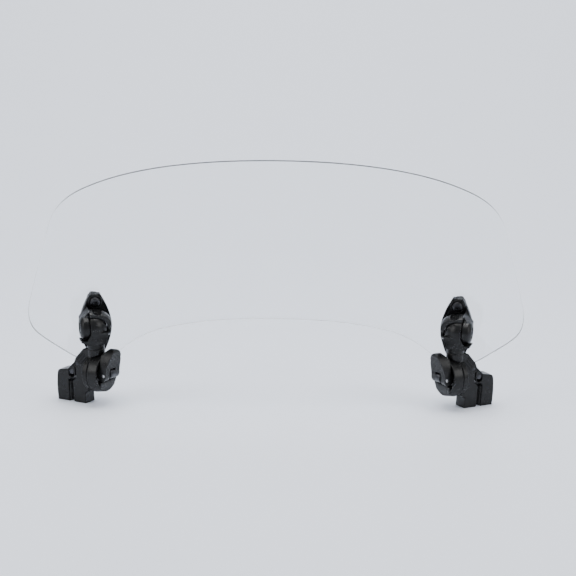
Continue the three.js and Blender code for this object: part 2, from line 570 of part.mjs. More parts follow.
// One clamp with its mounting plate, on the left; the right one is its mirror image.
function bracket(side) {
  const name = (piece) => piece + "_" + side;
  const screenSide = screenFrame();
  const plate = plateFrame();
  screenSide.add(plate);
  const fixings = [[SCREW_Z, "upper"], [-SCREW_Z, "lower"]];
  const screenFace = SCREEN_THICKNESS + GAP;
  plate.add(mesh(name("mount_plate"), mountPlate(), "black"));
  plate.add(mesh(name("plate_gasket"), gasket(), "rubber"));
  for (const [z, level] of fixings) {
    const headFace = PLATE_FLOOR - SCREW_BOSS_HEIGHT + 1.4 - 2.6 - GAP;
    const washer = cut(rod("y", 5.5, screenFace, screenFace + 1, [0, 0, z], 24),
      rod("y", 2.8, 0, 10, [0, 0, z], 16));
    plate.add(mesh(name(level + "_screw"), buttonScrew(headFace, screenFace + 4).translate([0, 0, z]), "steel"));
    plate.add(mesh(name(level + "_washer"), washer, "rubber"));
    plate.add(mesh(name(level + "_cap_nut"), capNut(screenFace + 1 + GAP).translate([0, 0, z]), "steel"));
  }

  const tilt = new THREE.Group();
  tilt.position.set(TILT_X, TILT_Y, TILT_Z);
  tilt.rotation.x = -Math.atan(Math.tan(SCREEN_LEAN) / Math.cos(plateTurn)); // brings the swivel axis upright
  plate.add(tilt);
  const tiltAxis = new THREE.Group();
  tiltAxis.position.x = -TILT_X;
  tiltAxis.add(mesh(name("tilt_screw"), tiltScrew(), "steel"));
  tiltAxis.add(mesh(name("tilt_nut"), tiltNut(), "steel"));
  tilt.add(tiltAxis);
  tilt.add(mesh(name("knuckle"), knuckle(), "black"));

  const swivel = new THREE.Group();
  swivel.position.z = SWIVEL_Z;
  tilt.add(swivel);
  swivel.add(mesh(name("swivel_pin"), swivelPin(), "steel"));
  swivel.add(mesh(name("set_screw"), setScrew(), "bright"));

  const clamp = onMatrix(new THREE.Group(), clampFromSwivel);
  swivel.add(clamp);
  screenSide.updateMatrixWorld(true);
  const below = new THREE.BoxGeometry(400, 400, 60).translate(-PLATE_X, 0, -30);
  const floorCutter = solid(below.applyMatrix4(clamp.matrixWorld.clone().invert()));
  clamp.add(mesh(name("clamp_frame"), clampFrame(floorCutter), "black"));
  clamp.add(mesh(name("inner_pad"), pad(INNER_PAD_FACE, 1), "rubber"));
  clamp.add(mesh(name("cam_housing"), camHousing(), "black"));
  clamp.add(mesh(name("outer_jaw"), outerJaw(floorCutter), "black"));
  clamp.add(mesh(name("hinge_pin"), hingePin(), "steel"));
  clamp.add(mesh(name("outer_pad"), pad(OUTER_PAD_FACE, -1), "rubber"));
  clamp.add(mesh(name("barrel_nut"), barrelNut(), "steel"));
  clamp.add(mesh(name("draw_bolt"), drawBolt(), "steel"));
  clamp.add(mesh(name("cam_lever"), camLever(), "black"));
  clamp.add(mesh(name("lever_pin"), leverPin(), "bright"));
  return screenSide;
}

const group = new THREE.Group();
group.add(bracket("left"));
const mirrored = new THREE.Group();
mirrored.scale.x = -1;
mirrored.add(bracket("right"));
group.add(mirrored);

// The screen's four holes follow the plates' screws.
const holes = [1, -1].flatMap((hand) => [SCREW_Z, -SCREW_Z].map((z) => {
  const frame = plateFrame();
  const hole = new THREE.CylinderGeometry(2.9, 2.9, 20, 20).translate(0, 0, z);
  frame.updateMatrix();
  return solid(hole.applyMatrix4(frame.matrix).scale(hand, 1, 1));
}));
const screenSide = screenFrame();
screenSide.add(mesh("screen_panel", screenPanel(holes), "screen"));
group.add(screenSide);

const box = new THREE.Box3().setFromObject(group, true);
group.position.y = -(box.min.y + box.max.y) / 2;

export default group;
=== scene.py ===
# A clear clip-on windscreen extension on two mirrored quick clamps, modelled in Blender round its CAD frame.
# Each piece is made once for the left side, in millimetres in its own local frame, then mirrored for the
# right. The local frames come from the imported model's joints and nodes.
import json
import math

import bmesh
import bpy
from mathutils import Matrix, Vector


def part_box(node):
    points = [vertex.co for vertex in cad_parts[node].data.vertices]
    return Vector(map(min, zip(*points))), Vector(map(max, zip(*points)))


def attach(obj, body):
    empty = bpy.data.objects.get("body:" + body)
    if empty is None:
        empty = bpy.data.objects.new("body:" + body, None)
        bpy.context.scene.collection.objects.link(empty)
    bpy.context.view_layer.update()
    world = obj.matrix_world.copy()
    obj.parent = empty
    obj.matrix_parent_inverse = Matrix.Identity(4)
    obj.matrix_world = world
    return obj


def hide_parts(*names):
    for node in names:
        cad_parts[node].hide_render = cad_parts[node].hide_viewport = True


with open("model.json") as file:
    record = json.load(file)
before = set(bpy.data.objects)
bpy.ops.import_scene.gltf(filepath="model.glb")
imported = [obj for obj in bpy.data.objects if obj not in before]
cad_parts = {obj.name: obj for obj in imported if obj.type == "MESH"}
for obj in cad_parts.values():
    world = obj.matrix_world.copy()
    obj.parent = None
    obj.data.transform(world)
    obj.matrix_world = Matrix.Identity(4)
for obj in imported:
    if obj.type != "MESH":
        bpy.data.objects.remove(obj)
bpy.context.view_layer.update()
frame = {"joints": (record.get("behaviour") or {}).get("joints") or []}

# ------------------------------------------------------------ driving dimensions, in millimetres
MM = 0.001
GAP = 0.3

SCREEN_THICKNESS = 3
SCREEN_BEND_RADIUS = 600
SCREEN_TOP = 135
OUTLINE_FIT = 0.9996
SHEET_FACE_NORMAL = 0.97
SHEET_HOLE_RADIUS = 2.9
PLATE_X = 148

PLATE_HALF_WIDTH = 13.2
PLATE_HALF_HEIGHT = 28
PLATE_TIP_HALF_WIDTH = 4.2
GASKET_FRONT = -0.5
GASKET_BACK = -1.6
PLATE_FRONT = -1.9
PLATE_FLOOR = -4.9
RIM_HEIGHT = 1.6
RIM_WIDTH = 1.3
BOSS_RADIUS = 5.6
SCREW_Z = 21.3
SCREW_HOLE_RADIUS = 2.7
HEAD_RECESS_RADIUS = 4.8
HEX_CORNER = 4.4
HEX_FLAT = 3.9

TILT = Vector((-2.5, -18, 4.8))
LUG_OUTER = -14.8
LUG_INNER = -7.3
LUG_RADIUS = 9.5
HEAD_INNER = -7
HEAD_OUTER = 7.2
HEAD_RADIUS = 11.5
HOOD_CLEARANCE = 0.7
HOOD_THICKNESS = 2.4
HOOD_REACH = 6
HOOD_CHEEK_LOW = -12.5
LUG_LOW = -4.5
NECK_RADIUS = 7.2
NECK_LENGTH = 3.6
SWIVEL_Z = -17.5
SWIVEL_PIN_RADIUS = 3
SWIVEL_HOLE_RADIUS = SWIVEL_PIN_RADIUS + 0.1
SET_SCREW_Z = 2.45

JAW_HALF_WIDTH = 6.2
JAW_LOW = -34
FRAME_TOP = 20.3
LEG_FRONT = 0.4
DISC_BACK = -4.4
DISC_RADIUS = 15.2
INNER_FRONT = -8.6
INNER_BACK = -20.2
PAD_THICKNESS = 2
PAD_HALF_WIDTH = 4.8
PAD_SPAN = (-24.5, -8.5)
PAD_GROOVES = (-10.5, -13.5, -19.5, -22.5)
PAD_GROOVE_HALF_WIDTH = 0.4
PAD_GROOVE_DEPTH = 0.4
INNER_PAD_FACE = -21.2
OUTER_PAD_FACE = -23.7
OUTER_FRONT = -24.7
OUTER_BACK = -35.2
JAW_TOP = 1.2
JAW_NOSE = -17.6
NUT_X = -21.5
NUT_RADIUS = 2.4
NUT_SLOT_DEPTH = 1.7
HINGE_X = -15.5
HINGE_Z = 6.8
HINGE_AT = (HINGE_X, 0, HINGE_Z)
HINGE_PIN_RADIUS = 1.5
HINGE_HOLE_RADIUS = 1.6
CHEEK_RADIUS = 3.1
TONGUE_RADIUS = 2.6
TONGUE_HALF_WIDTH = 3.4
SEAM_CHAMFER = 0.8
STRAP_GROOVE_WIDTH = 0.9
STRAP_GROOVE_DEPTH = 0.7
STRAP_GROOVE_OFFSETS = (2.4, 4.8, 7.2)
STRAP_GROOVE_START = 2
STRAP_GROOVE_LENGTH = 9.5
STRAP_HIGH = (-8.2, FRAME_TOP)
STRAP_BEND = (-16.4, 11.9)
STRAP_LOW = (-17.7, 8.9)

HOUSING_RADIUS = 15.9
HOUSING_RIM_RADIUS = 14.9
HOUSING_BACK = 0.7
HOUSING_RIM = 9.3
HOUSING_FLOOR = 6.5
CUP_RADIUS = 13.2
CAM_HIGH = 6
CAM_LOW = 4.5
LEVER_PIN_X = 12.8
LEVER_PIN_AT = (LEVER_PIN_X, 0, 0)
LEVER_PIN_RADIUS = 1.6
LEVER_HOLE_RADIUS = 1.75
LEVER_OPEN = math.radians(95)
LEVER_HALF_WIDTH = 10
LEVER_TOP = 20.9
LEVER_BACK = ((15.3, 0.5), (15.5, 5.5), (18.7, 12), (20.3, 17.2))
STRIATION_PITCH = 2
STRIATION_DEPTH = 0.45
STRIATION_HALF_WIDTH = 0.35
BOLT_RADIUS = 1.8
BOLT_HOLE_RADIUS = BOLT_RADIUS + 0.35
EYE_HALF_WIDTH = 3

FACES_KEPT = 0.45

# ------------------------------------------------------------ the photo's camera, in metres and radians
CAMERA_DISTANCE = 1.5
CAMERA_ELEVATION = math.radians(12)
CAMERA_ROLL = math.radians(0.75)
CAMERA_LENS = 116
CAMERA_AIM = Vector((0.0093, 0, 0.0955))

# ------------------------------------------------------------ local frames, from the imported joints
joints = {j["name"]: j for j in frame["joints"]}


def direction(joint):
    return Vector(joints[joint]["axis"]).normalized()


def frame_at(origin, x, z):
    """A matrix at a place in metres, with its X and Z along these directions; its own unit is 1 mm."""
    y = z.cross(x).normalized()
    turn = Matrix((x, y, x.cross(y))).transposed().to_4x4()
    return Matrix.Translation(origin) @ turn @ Matrix.Scale(MM, 4)


def middle(node):
    low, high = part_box(node)
    return (low + high) / 2


tilt_x = direction("left_tilt")
plate_z = (middle("upper_screw_left") - middle("lower_screw_left")).normalized()
TILT_FRAME = frame_at(Vector(joints["left_tilt"]["pos_m"]), tilt_x, direction("left_swivel"))
SWIVEL_FRAME = frame_at(Vector(joints["left_swivel"]["pos_m"]), tilt_x, direction("left_swivel"))
PLATE_FRAME = frame_at(Vector(joints["left_tilt"]["pos_m"]), tilt_x, plate_z) @ Matrix.Translation(-TILT)
clamp_x = -direction("left_bolt_slide")
clamp_z = clamp_x.cross(direction("left_lever"))
CLAMP_FRAME = frame_at(Vector(joints["left_lever"]["pos_m"]), clamp_x, clamp_z) @ Matrix.Translation(
    (-LEVER_PIN_X, 0, 0)
)
SWIVEL_IN_CLAMP = CLAMP_FRAME.inverted() @ SWIVEL_FRAME
bend_inner = SCREEN_BEND_RADIUS - SCREEN_THICKNESS / 2
plate_y = math.sqrt(bend_inner**2 - PLATE_X**2) - SCREEN_BEND_RADIUS
screen_level = frame_at(PLATE_FRAME.translation, Vector((1, 0, 0)), plate_z)
SCREEN_FRAME = screen_level @ Matrix.Translation((PLATE_X, -plate_y, 0))


# ------------------------------------------------------------ closed meshes in millimetres
def mesh_of(bm):
    bmesh.ops.remove_doubles(bm, verts=bm.verts, dist=1e-5)
    bmesh.ops.recalc_face_normals(bm, faces=bm.faces)
    mesh = bpy.data.meshes.new("part")
    bm.to_mesh(mesh)
    bm.free()
    return mesh


# How a shape made along Z is turned to lie along each axis.
AXES = {
    "x": Matrix(((0, 0, 1, 0), (1, 0, 0, 0), (0, 1, 0, 0), (0, 0, 0, 1))),
    "y": Matrix(((0, 1, 0, 0), (0, 0, 1, 0), (1, 0, 0, 0), (0, 0, 0, 1))),
    "z": Matrix.Identity(4),
}


def turned(axis, profile, at=(0, 0, 0), segments=64):
    """A profile of (position, radius) pairs turned round an axis; it ends on the axis or closes on itself."""
    bm = bmesh.new()
    rings = []
    for place, radius in profile:
        if radius < 1e-6:
            rings.append([bm.verts.new((0, 0, place))])
            continue
        angles = [2 * math.pi * i / segments for i in range(segments)]
        rings.append([bm.verts.new((radius * math.cos(a), radius * math.sin(a), place)) for a in angles])
    for one, two in zip(rings, rings[1:]):
        for i in range(segments):
            corners = [one[i % len(one)], one[(i + 1) % len(one)], two[(i + 1) % len(two)], two[i % len(two)]]
            distinct = list(dict.fromkeys(corners))
            if len(distinct) > 2:
                bm.faces.new(distinct)
    bmesh.ops.transform(bm, matrix=Matrix.Translation(at) @ AXES[axis], verts=bm.verts)
    return mesh_of(bm)


def rod(axis, radius, start, end, at=(0, 0, 0), segments=48, chamfer=0):
    profile = [(start, 0), (start, radius - chamfer), (start + chamfer, radius)]
    profile += [(end - chamfer, radius), (end, radius - chamfer), (end, 0)]
    return turned(axis, profile, at, segments)


def prism(axis, points, start, end):
    """A closed line of points extruded along an axis.

    The points are (x, z) along y, (x, y) along z and (y, z) along x.
    """
    bm = bmesh.new()
    order = {
        "x": lambda p, s: (s, *p),
        "y": lambda p, s: (p[0], s, p[1]),
        "z": lambda p, s: (*p, s),
    }
    place = order[axis]
    low = [bm.verts.new(place(p, start)) for p in points]
    high = [bm.verts.new(place(p, end)) for p in points]
    bm.faces.new(low)
    bm.faces.new(high)
    for i in range(len(points)):
        j = (i + 1) % len(points)
        bm.faces.new((low[i], low[j], high[j], high[i]))
    return mesh_of(bm)


def block(x, y, z):
    return prism("z", [(x[0], y[0]), (x[1], y[0]), (x[1], y[1]), (x[0], y[1])], z[0], z[1])


def placed(mesh, matrix):
    mesh.transform(matrix)
    return mesh


def bezier(start, one, two, end, steps):
    """The points of a cubic curve after its start."""
    points = []
    for i in range(1, steps + 1):
        t = i / steps
        k = ((1 - t) ** 3, 3 * t * (1 - t) ** 2, 3 * t * t * (1 - t), t**3)
        points.append(tuple(sum(w * p[n] for w, p in zip(k, (start, one, two, end))) for n in range(2)))
    return points


def outline(start, *legs, steps=12):
    """A line of points: a leg of one point is straight, and a leg of three is a curve with two controls."""
    points = [start]
    for leg in legs:
        if len(leg) == 1:
            points.append(leg[0])
        else:
            points += bezier(points[-1], *leg, steps)
    return points


# ------------------------------------------------------------ joining, cutting and rounding
def evaluated(obj):
    depsgraph = bpy.context.evaluated_depsgraph_get()
    mesh = bpy.data.meshes.new_from_object(obj.evaluated_get(depsgraph))
    old = obj.data
    bpy.data.objects.remove(obj)
    if old.users == 0:
        bpy.data.meshes.remove(old)
    return mesh


def temporary(mesh):
    obj = bpy.data.objects.new("temporary", mesh)
    bpy.context.scene.collection.objects.link(obj)
    return obj


def boolean(mesh, other, operation):
    obj = temporary(mesh)
    tool = temporary(other)
    modifier = obj.modifiers.new("boolean", "BOOLEAN")
    modifier.object = tool
    modifier.operation = operation
    modifier.solver = "EXACT"
    made = evaluated(obj)
    bpy.data.objects.remove(tool)
    return made


def joined(first, *others):
    for other in others:
        first = boolean(first, other, "UNION")
    return first


def cut(mesh, *tools):
    for tool in tools:
        mesh = boolean(mesh, tool, "DIFFERENCE")
    return mesh


def common(mesh, other):
    return boolean(mesh, other, "INTERSECT")


def rounded(mesh, voxel, passes):
    """The same solid with all its edges rounded, as a moulding's are."""
    obj = temporary(mesh)
    remesh = obj.modifiers.new("remesh", "REMESH")
    remesh.mode = "VOXEL"
    remesh.voxel_size = voxel
    smooth = obj.modifiers.new("smooth", "SMOOTH")
    smooth.factor = 0.5
    smooth.iterations = passes
    thin = obj.modifiers.new("thin", "DECIMATE")
    thin.ratio = FACES_KEPT
    return evaluated(obj)


def bevelled(mesh, width, segments=2, angle=35):
    """The same solid with its sharp edges bevelled."""
    obj = temporary(mesh)
    bevel = obj.modifiers.new("bevel", "BEVEL")
    bevel.width = width
    bevel.segments = segments
    bevel.limit_method = "ANGLE"
    bevel.angle_limit = math.radians(angle)
    return evaluated(obj)


# ------------------------------------------------------------ materials
def nodes_of(name):
    material = bpy.data.materials.new(name)
    material.use_nodes = True
    tree = material.node_tree
    return material, tree, tree.nodes["Principled BSDF"]


def coordinates(tree, stretch=(1, 1, 1)):
    """Object coordinates, stretched: a scale of 1 repeats each metre."""
    source = tree.nodes.new("ShaderNodeTexCoord")
    mapping = tree.nodes.new("ShaderNodeMapping")
    mapping.inputs["Scale"].default_value = stretch
    tree.links.new(source.outputs["Object"], mapping.inputs["Vector"])
    return mapping.outputs["Vector"]


def noise(tree, vector, scale, detail=4, roughness=0.55):
    node = tree.nodes.new("ShaderNodeTexNoise")
    node.inputs["Scale"].default_value = scale
    node.inputs["Detail"].default_value = detail
    node.inputs["Roughness"].default_value = roughness
    tree.links.new(vector, node.inputs["Vector"])
    return node.outputs["Fac"]


def ramp(tree, value, stops):
    node = tree.nodes.new("ShaderNodeValToRGB")
    node.color_ramp.elements[0].position = stops[0][0]
    node.color_ramp.elements[1].position = stops[-1][0]
    for place, _ in stops[1:-1]:
        node.color_ramp.elements.new(place)
    for element, (_, colour) in zip(node.color_ramp.elements, stops):
        element.color = (*colour, 1)
    tree.links.new(value, node.inputs["Fac"])
    return node.outputs["Color"]


def spread(tree, value, low, high, start=0.3, end=0.7):
    node = tree.nodes.new("ShaderNodeMapRange")
    node.inputs["From Min"].default_value = start
    node.inputs["From Max"].default_value = end
    node.inputs["To Min"].default_value = low
    node.inputs["To Max"].default_value = high
    tree.links.new(value, node.inputs["Value"])
    return node.outputs["Result"]


def bump(tree, height, strength, distance, before=None):
    node = tree.nodes.new("ShaderNodeBump")
    node.inputs["Strength"].default_value = strength
    node.inputs["Distance"].default_value = distance
    tree.links.new(height, node.inputs["Height"])
    if before is not None:
        tree.links.new(before, node.inputs["Normal"])
    return node.outputs["Normal"]


# The colour sockets of a mix node, whose names are shared with its other sockets.
MIX_A, MIX_B, MIX_RESULT = 6, 7, 2


def wear_and_painted_highlight_edges(tree, colour, wear_and_highlight_colour, start=0.54, end=0.62):
    """Mixes a lighter colour in along the outer edges, broken up by noise: partly edge wear and partly a
    painted highlight on the rims.
    """
    geometry = tree.nodes.new("ShaderNodeNewGeometry")
    # The pointiness mask puts the edge colour on the rims, as wear and as a painted highlight.
    edge = spread(tree, geometry.outputs["Pointiness"], 0, 1, start, end)
    patchy = tree.nodes.new("ShaderNodeMath")
    patchy.operation = "MULTIPLY"
    tree.links.new(edge, patchy.inputs[0])
    tree.links.new(spread(tree, noise(tree, coordinates(tree), 700), 0.2, 1), patchy.inputs[1])
    mix = tree.nodes.new("ShaderNodeMix")
    mix.data_type = "RGBA"
    mix.inputs[MIX_B].default_value = (*wear_and_highlight_colour, 1)
    tree.links.new(patchy.outputs[0], mix.inputs[0])
    tree.links.new(colour, mix.inputs[MIX_A])
    return mix.outputs[MIX_RESULT]


def black_plastic():
    material, tree, shader = nodes_of("black_nylon")
    place = coordinates(tree)
    clouds = noise(tree, place, 90)
    base = ramp(tree, clouds, [(0.3, (0.0028, 0.0029, 0.0031)), (0.7, (0.0055, 0.0056, 0.0059))])
    # The plastic is lighter along its edges: partly wear, partly a painted highlight on the rims.
    tree.links.new(wear_and_painted_highlight_edges(tree, base, (0.017, 0.0175, 0.018)), shader.inputs["Base Color"])
    tree.links.new(spread(tree, noise(tree, place, 260), 0.24, 0.38), shader.inputs["Roughness"])
    grain = bump(tree, noise(tree, place, 3800, 2), 0.12, 0.00006)
    tree.links.new(bump(tree, clouds, 0.08, 0.0004, grain), shader.inputs["Normal"])
    shader.inputs["Specular IOR Level"].default_value = 0.24
    return material


def rubber():
    material, tree, shader = nodes_of("rubber")
    place = coordinates(tree)
    base = ramp(tree, noise(tree, place, 140), [(0.3, (0.011, 0.011, 0.0115)), (0.7, (0.022, 0.022, 0.0225))])
    tree.links.new(base, shader.inputs["Base Color"])
    tree.links.new(spread(tree, noise(tree, place, 500), 0.6, 0.85), shader.inputs["Roughness"])
    tree.links.new(bump(tree, noise(tree, place, 2600, 3), 0.3, 0.00008), shader.inputs["Normal"])
    return material


def steel(name, dark, light, low, high, stretch=(1, 1, 12)):
    material, tree, shader = nodes_of(name)
    brushed = noise(tree, coordinates(tree, stretch), 900, 6, 0.6)
    base = ramp(tree, noise(tree, coordinates(tree), 180), [(0.3, dark), (0.7, light)])
    # The steel is lighter along its edges: partly bare worn metal, partly a painted highlight.
    wear_and_highlight_colour = tuple(min(1, 2 * c + 0.02) for c in light)
    tree.links.new(wear_and_painted_highlight_edges(tree, base, wear_and_highlight_colour), shader.inputs["Base Color"])
    shader.inputs["Metallic"].default_value = 1
    tree.links.new(spread(tree, brushed, low, high), shader.inputs["Roughness"])
    tree.links.new(bump(tree, brushed, 0.15, 0.00003), shader.inputs["Normal"])
    return material


def black_steel():
    return steel("black_oxide_steel", (0.02, 0.02, 0.022), (0.05, 0.05, 0.054), 0.28, 0.46)


def bright_steel():
    return steel("stainless_steel", (0.3, 0.3, 0.305), (0.42, 0.42, 0.425), 0.16, 0.32)


def clear_acrylic():
    """Clear acrylic with a faint haze of fine wear; rays from the lamps go straight through."""
    material, tree, shader = nodes_of("clear_acrylic")
    place = coordinates(tree)
    haze = noise(tree, coordinates(tree, (1, 1, 0.25)), 35, 5)
    shader.inputs["Transmission Weight"].default_value = 1
    shader.inputs["IOR"].default_value = 1.49
    tint = ramp(tree, haze, [(0.3, (0.975, 0.983, 0.985)), (0.7, (0.985, 0.99, 0.992))])
    tree.links.new(tint, shader.inputs["Base Color"])
    tree.links.new(spread(tree, noise(tree, place, 60), 0.0, 0.02), shader.inputs["Roughness"])
    output = tree.nodes["Material Output"]
    path = tree.nodes.new("ShaderNodeLightPath")
    through = tree.nodes.new("ShaderNodeBsdfTransparent")
    through.inputs["Color"].default_value = (0.86, 0.87, 0.875, 1)
    mix = tree.nodes.new("ShaderNodeMixShader")
    tree.links.new(path.outputs["Is Shadow Ray"], mix.inputs["Fac"])
    tree.links.new(shader.outputs["BSDF"], mix.inputs[1])
    tree.links.new(through.outputs["BSDF"], mix.inputs[2])
    tree.links.new(mix.outputs["Shader"], output.inputs["Surface"])
    return material


def sawn_edge():
    """The sheet's sawn and flame-polished edge: paler and less clear than its faces."""
    material, tree, shader = nodes_of("acrylic_edge")
    along = noise(tree, coordinates(tree), 240, 3)
    shader.inputs["Transmission Weight"].default_value = 0.25
    shader.inputs["IOR"].default_value = 1.49
    tint = ramp(tree, along, [(0.3, (0.46, 0.48, 0.49)), (0.7, (0.56, 0.58, 0.59))])
    tree.links.new(tint, shader.inputs["Base Color"])
    tree.links.new(spread(tree, along, 0.12, 0.3), shader.inputs["Roughness"])
    return material


MATERIALS = {
    "black_plastic": black_plastic(),
    "rubber": rubber(),
    "black_steel": black_steel(),
    "bright_steel": bright_steel(),
    "clear_screen": clear_acrylic(),
}
SAWN_EDGE = sawn_edge()


# ------------------------------------------------------------ putting a piece in place
def shown(name, mesh, body, slot, node, smooth_angle=40):
    """A finished piece, in metres, riding on its body in place of its CAD node."""
    mesh.name = name
    mesh.materials.clear()
    mesh.materials.append(MATERIALS[slot])
    if slot == "clear_screen":
        mesh.materials.append(SAWN_EDGE)
    for polygon in mesh.polygons:
        polygon.use_smooth = True
    mesh.set_sharp_from_angle(angle=math.radians(smooth_angle))
    obj = bpy.data.objects.new(name, mesh)
    bpy.context.scene.collection.objects.link(obj)
    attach(obj, body)
    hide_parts(node)
    return obj


def mirrored(mesh):
    other = mesh.copy()
    other.transform(Matrix.Scale(-1, 4, Vector((1, 0, 0))))
    other.flip_normals()
    return other


def pair(node, mesh, local, body, slot):
    """The left piece from its local frame, and the right one as its mirror image."""
    mesh.transform(local)
    on_side = {side: body if body == "screen" else f"{body}_{side}" for side in ("left", "right")}
    other = mirrored(mesh)
    shown(f"{node}_l", mesh, on_side["left"], slot, f"{node}_left")
    shown(f"{node}_r", other, on_side["right"], slot, f"{node}_right")


# ------------------------------------------------------------ screen
def screen_outline():
    """Half of the outline from the top centre round to the bottom centre, then its mirror image."""
    half = outline(
        (0, 0),
        [(70, 0), (117, -4.5), (148.5, -16)],
        [(169, -23), (177, -32.5), (181.5, -46.5)],
        [(186, -65), (192.5, -86), (197, -105)],
        [(201, -119), (201, -131), (191.5, -140.5)],
        [(186, -146.5), (177.5, -153.5), (170, -160)],
        [(157, -171), (143, -174), (130.5, -164)],
        [(119, -154), (105, -146), (88.5, -144)],
        [(62, -139), (30, -138.5), (0, -138.5)],
        steps=26,
    )
    return half + [(-x, z) for x, z in half[-2:0:-1]]


def flat_sheet():
    """The flat sheet, divided into strips narrow enough to bend smoothly."""
    bm = bmesh.new()
    bm.faces.new([bm.verts.new((x * OUTLINE_FIT, 0, z + SCREEN_TOP)) for x, z in screen_outline()])
    strip, row = 4, 10
    planes = [((i * strip, 0, 0), (1, 0, 0)) for i in range(-50, 51)]
    planes += [((0, 0, i * row), (0, 0, 1)) for i in range(-3, 14)]
    for place, normal in planes:
        parts = bm.verts[:] + bm.edges[:] + bm.faces[:]
        bmesh.ops.bisect_plane(bm, geom=parts, plane_co=place, plane_no=normal)
    half = SCREEN_THICKNESS / 2
    bmesh.ops.translate(bm, verts=bm.verts, vec=(0, -half, 0))
    extruded = bmesh.ops.extrude_face_region(bm, geom=bm.faces[:])["geom"]
    moved = [v for v in extruded if isinstance(v, bmesh.types.BMVert)]
    bmesh.ops.translate(bm, verts=moved, vec=(0, SCREEN_THICKNESS, 0))
    return mesh_of(bm)


def screen_panel():
    """The sheet is drilled and its edges are rounded while it's flat, and then it's bent.

    Faces that don't look along its thickness take the sawn edge's material.
    """
    sheet = flat_sheet()
    hole_radius = SHEET_HOLE_RADIUS / math.cos(math.asin(PLATE_X / bend_inner))
    for side in (-1, 1):
        for z in (SCREW_Z, -SCREW_Z):
            sheet = cut(sheet, rod("y", hole_radius, -9, 9, (side * PLATE_X, 0, z)))
    sheet = bevelled(sheet, 0.5, 3, 60)
    for polygon in sheet.polygons:
        polygon.material_index = int(abs(polygon.normal.y) < SHEET_FACE_NORMAL)
    for vertex in sheet.vertices:
        radius = SCREEN_BEND_RADIUS + vertex.co.y
        vertex.co.y = math.sqrt(radius**2 - vertex.co.x**2) - SCREEN_BEND_RADIUS
    sheet.transform(SCREEN_FRAME)
    shown("clear_screen", sheet, "screen", "clear_screen", "screen_panel", 50)


# ------------------------------------------------------------ mounting plate and what fastens it
def plate_outline(inset=0.0):
    w = PLATE_HALF_WIDTH - inset
    h = PLATE_HALF_HEIGHT - inset
    tip = PLATE_TIP_HALF_WIDTH - inset * 0.45
    return outline(
        (w, 0),
        [(w, 0.35 * h), (0.66 * w, 0.71 * h), (tip, h)],
        [(-tip, h)],
        [(-0.66 * w, 0.71 * h), (-w, 0.35 * h), (-w, 0)],
        [(-w, -0.35 * h), (-0.66 * w, -0.71 * h), (-tip, -h)],
        [(tip, -h)],
        [(0.66 * w, -0.71 * h), (w, -0.35 * h), (w, 0)],
    )[:-1]


def head_profile(grow=0.0):
    """The knuckle's domed head about the tilt axis, from the lug to its outer end."""
    steps = 14
    length = HEAD_OUTER - HEAD_INNER - 3
    reach = math.radians(68)
    arc = []
    for i in range(steps + 1):
        turn = i / steps * reach
        along = HEAD_INNER + 3 + (length + grow) * math.sin(turn) / math.sin(reach)
        arc.append((along, HEAD_RADIUS * math.cos(turn) + grow))
    return [(HEAD_INNER, HEAD_RADIUS + grow), *arc]


def lug_profile():
    """The plate's lug about the tilt axis, rounded at its outer end."""
    steps = 10
    reach = math.radians(48)
    length = LUG_INNER - 4 - LUG_OUTER
    arc = []
    for i in range(steps, -1, -1):
        turn = i / steps * reach
        arc.append((LUG_INNER - 4 - length * math.sin(turn) / math.sin(reach), LUG_RADIUS * math.cos(turn)))
    return [*arc, (LUG_INNER, LUG_RADIUS)]


def hood():
    """A shell round the upper half of the knuckle's head, and a cheek that goes on down its outer side."""
    wall = head_profile(HOOD_CLEARANCE) + head_profile(HOOD_CLEARANCE + HOOD_THICKNESS)[::-1]
    shell = turned("x", wall + wall[:1], TILT * Vector((0, 1, 1)), 96)
    upper = common(shell, block((-40, 40), (TILT.y - HOOD_REACH, PLATE_FLOOR + 1), (TILT.z, 40)))
    inner = HEAD_OUTER + HOOD_CLEARANCE
    outer = inner + HOOD_THICKNESS
    low = HOOD_CHEEK_LOW
    front = [(inner, 0.5), (outer, 0.5), (outer - 0.1, -5), (outer - 0.9, low), (inner, low)]
    foot = PLATE_FLOOR + 0.5
    side = outline((foot, 0.5), [(TILT.y - 5, 0.5)], [(TILT.y - 5, -6), (TILT.y + 1, -11), (foot, low)])
    cheek = common(
        prism("y", [(x, TILT.z + z) for x, z in front], -40, foot),
        prism("x", [(y, TILT.z + z) for y, z in side], 0, 30),
    )
    return joined(upper, cheek)


def plate_body(at):
    """The plate with its rim, bosses, lug, web and hood, before it's drilled."""
    floor = prism("y", plate_outline(), PLATE_FLOOR, PLATE_FRONT)
    rim = cut(
        prism("y", plate_outline(), PLATE_FLOOR - RIM_HEIGHT, PLATE_FLOOR + 0.5),
        prism("y", plate_outline(RIM_WIDTH), PLATE_FLOOR - 9, PLATE_FLOOR + 1),
    )
    boss = (BOSS_RADIUS, PLATE_FLOOR - 2.2, PLATE_FLOOR + 0.5)
    bosses = [rod("y", *boss, (0, 0, z)) for z in (SCREW_Z, -SCREW_Z)]
    lug = turned("x", [(LUG_OUTER, 0), *lug_profile(), (LUG_INNER, 0)], at, 96)
    flank = [
        (LUG_INNER + 0.5, 13.8), (LUG_OUTER + 1.2, 4.5), (LUG_OUTER + 1.2, 0),
        (LUG_OUTER + 3.5, LUG_LOW), (LUG_INNER, LUG_LOW),
    ]
    web = prism("y", [(x, TILT.z + z) for x, z in flank], TILT.y, PLATE_FLOOR + 0.5)
    return joined(floor, rim, *bosses, lug, web, hood())


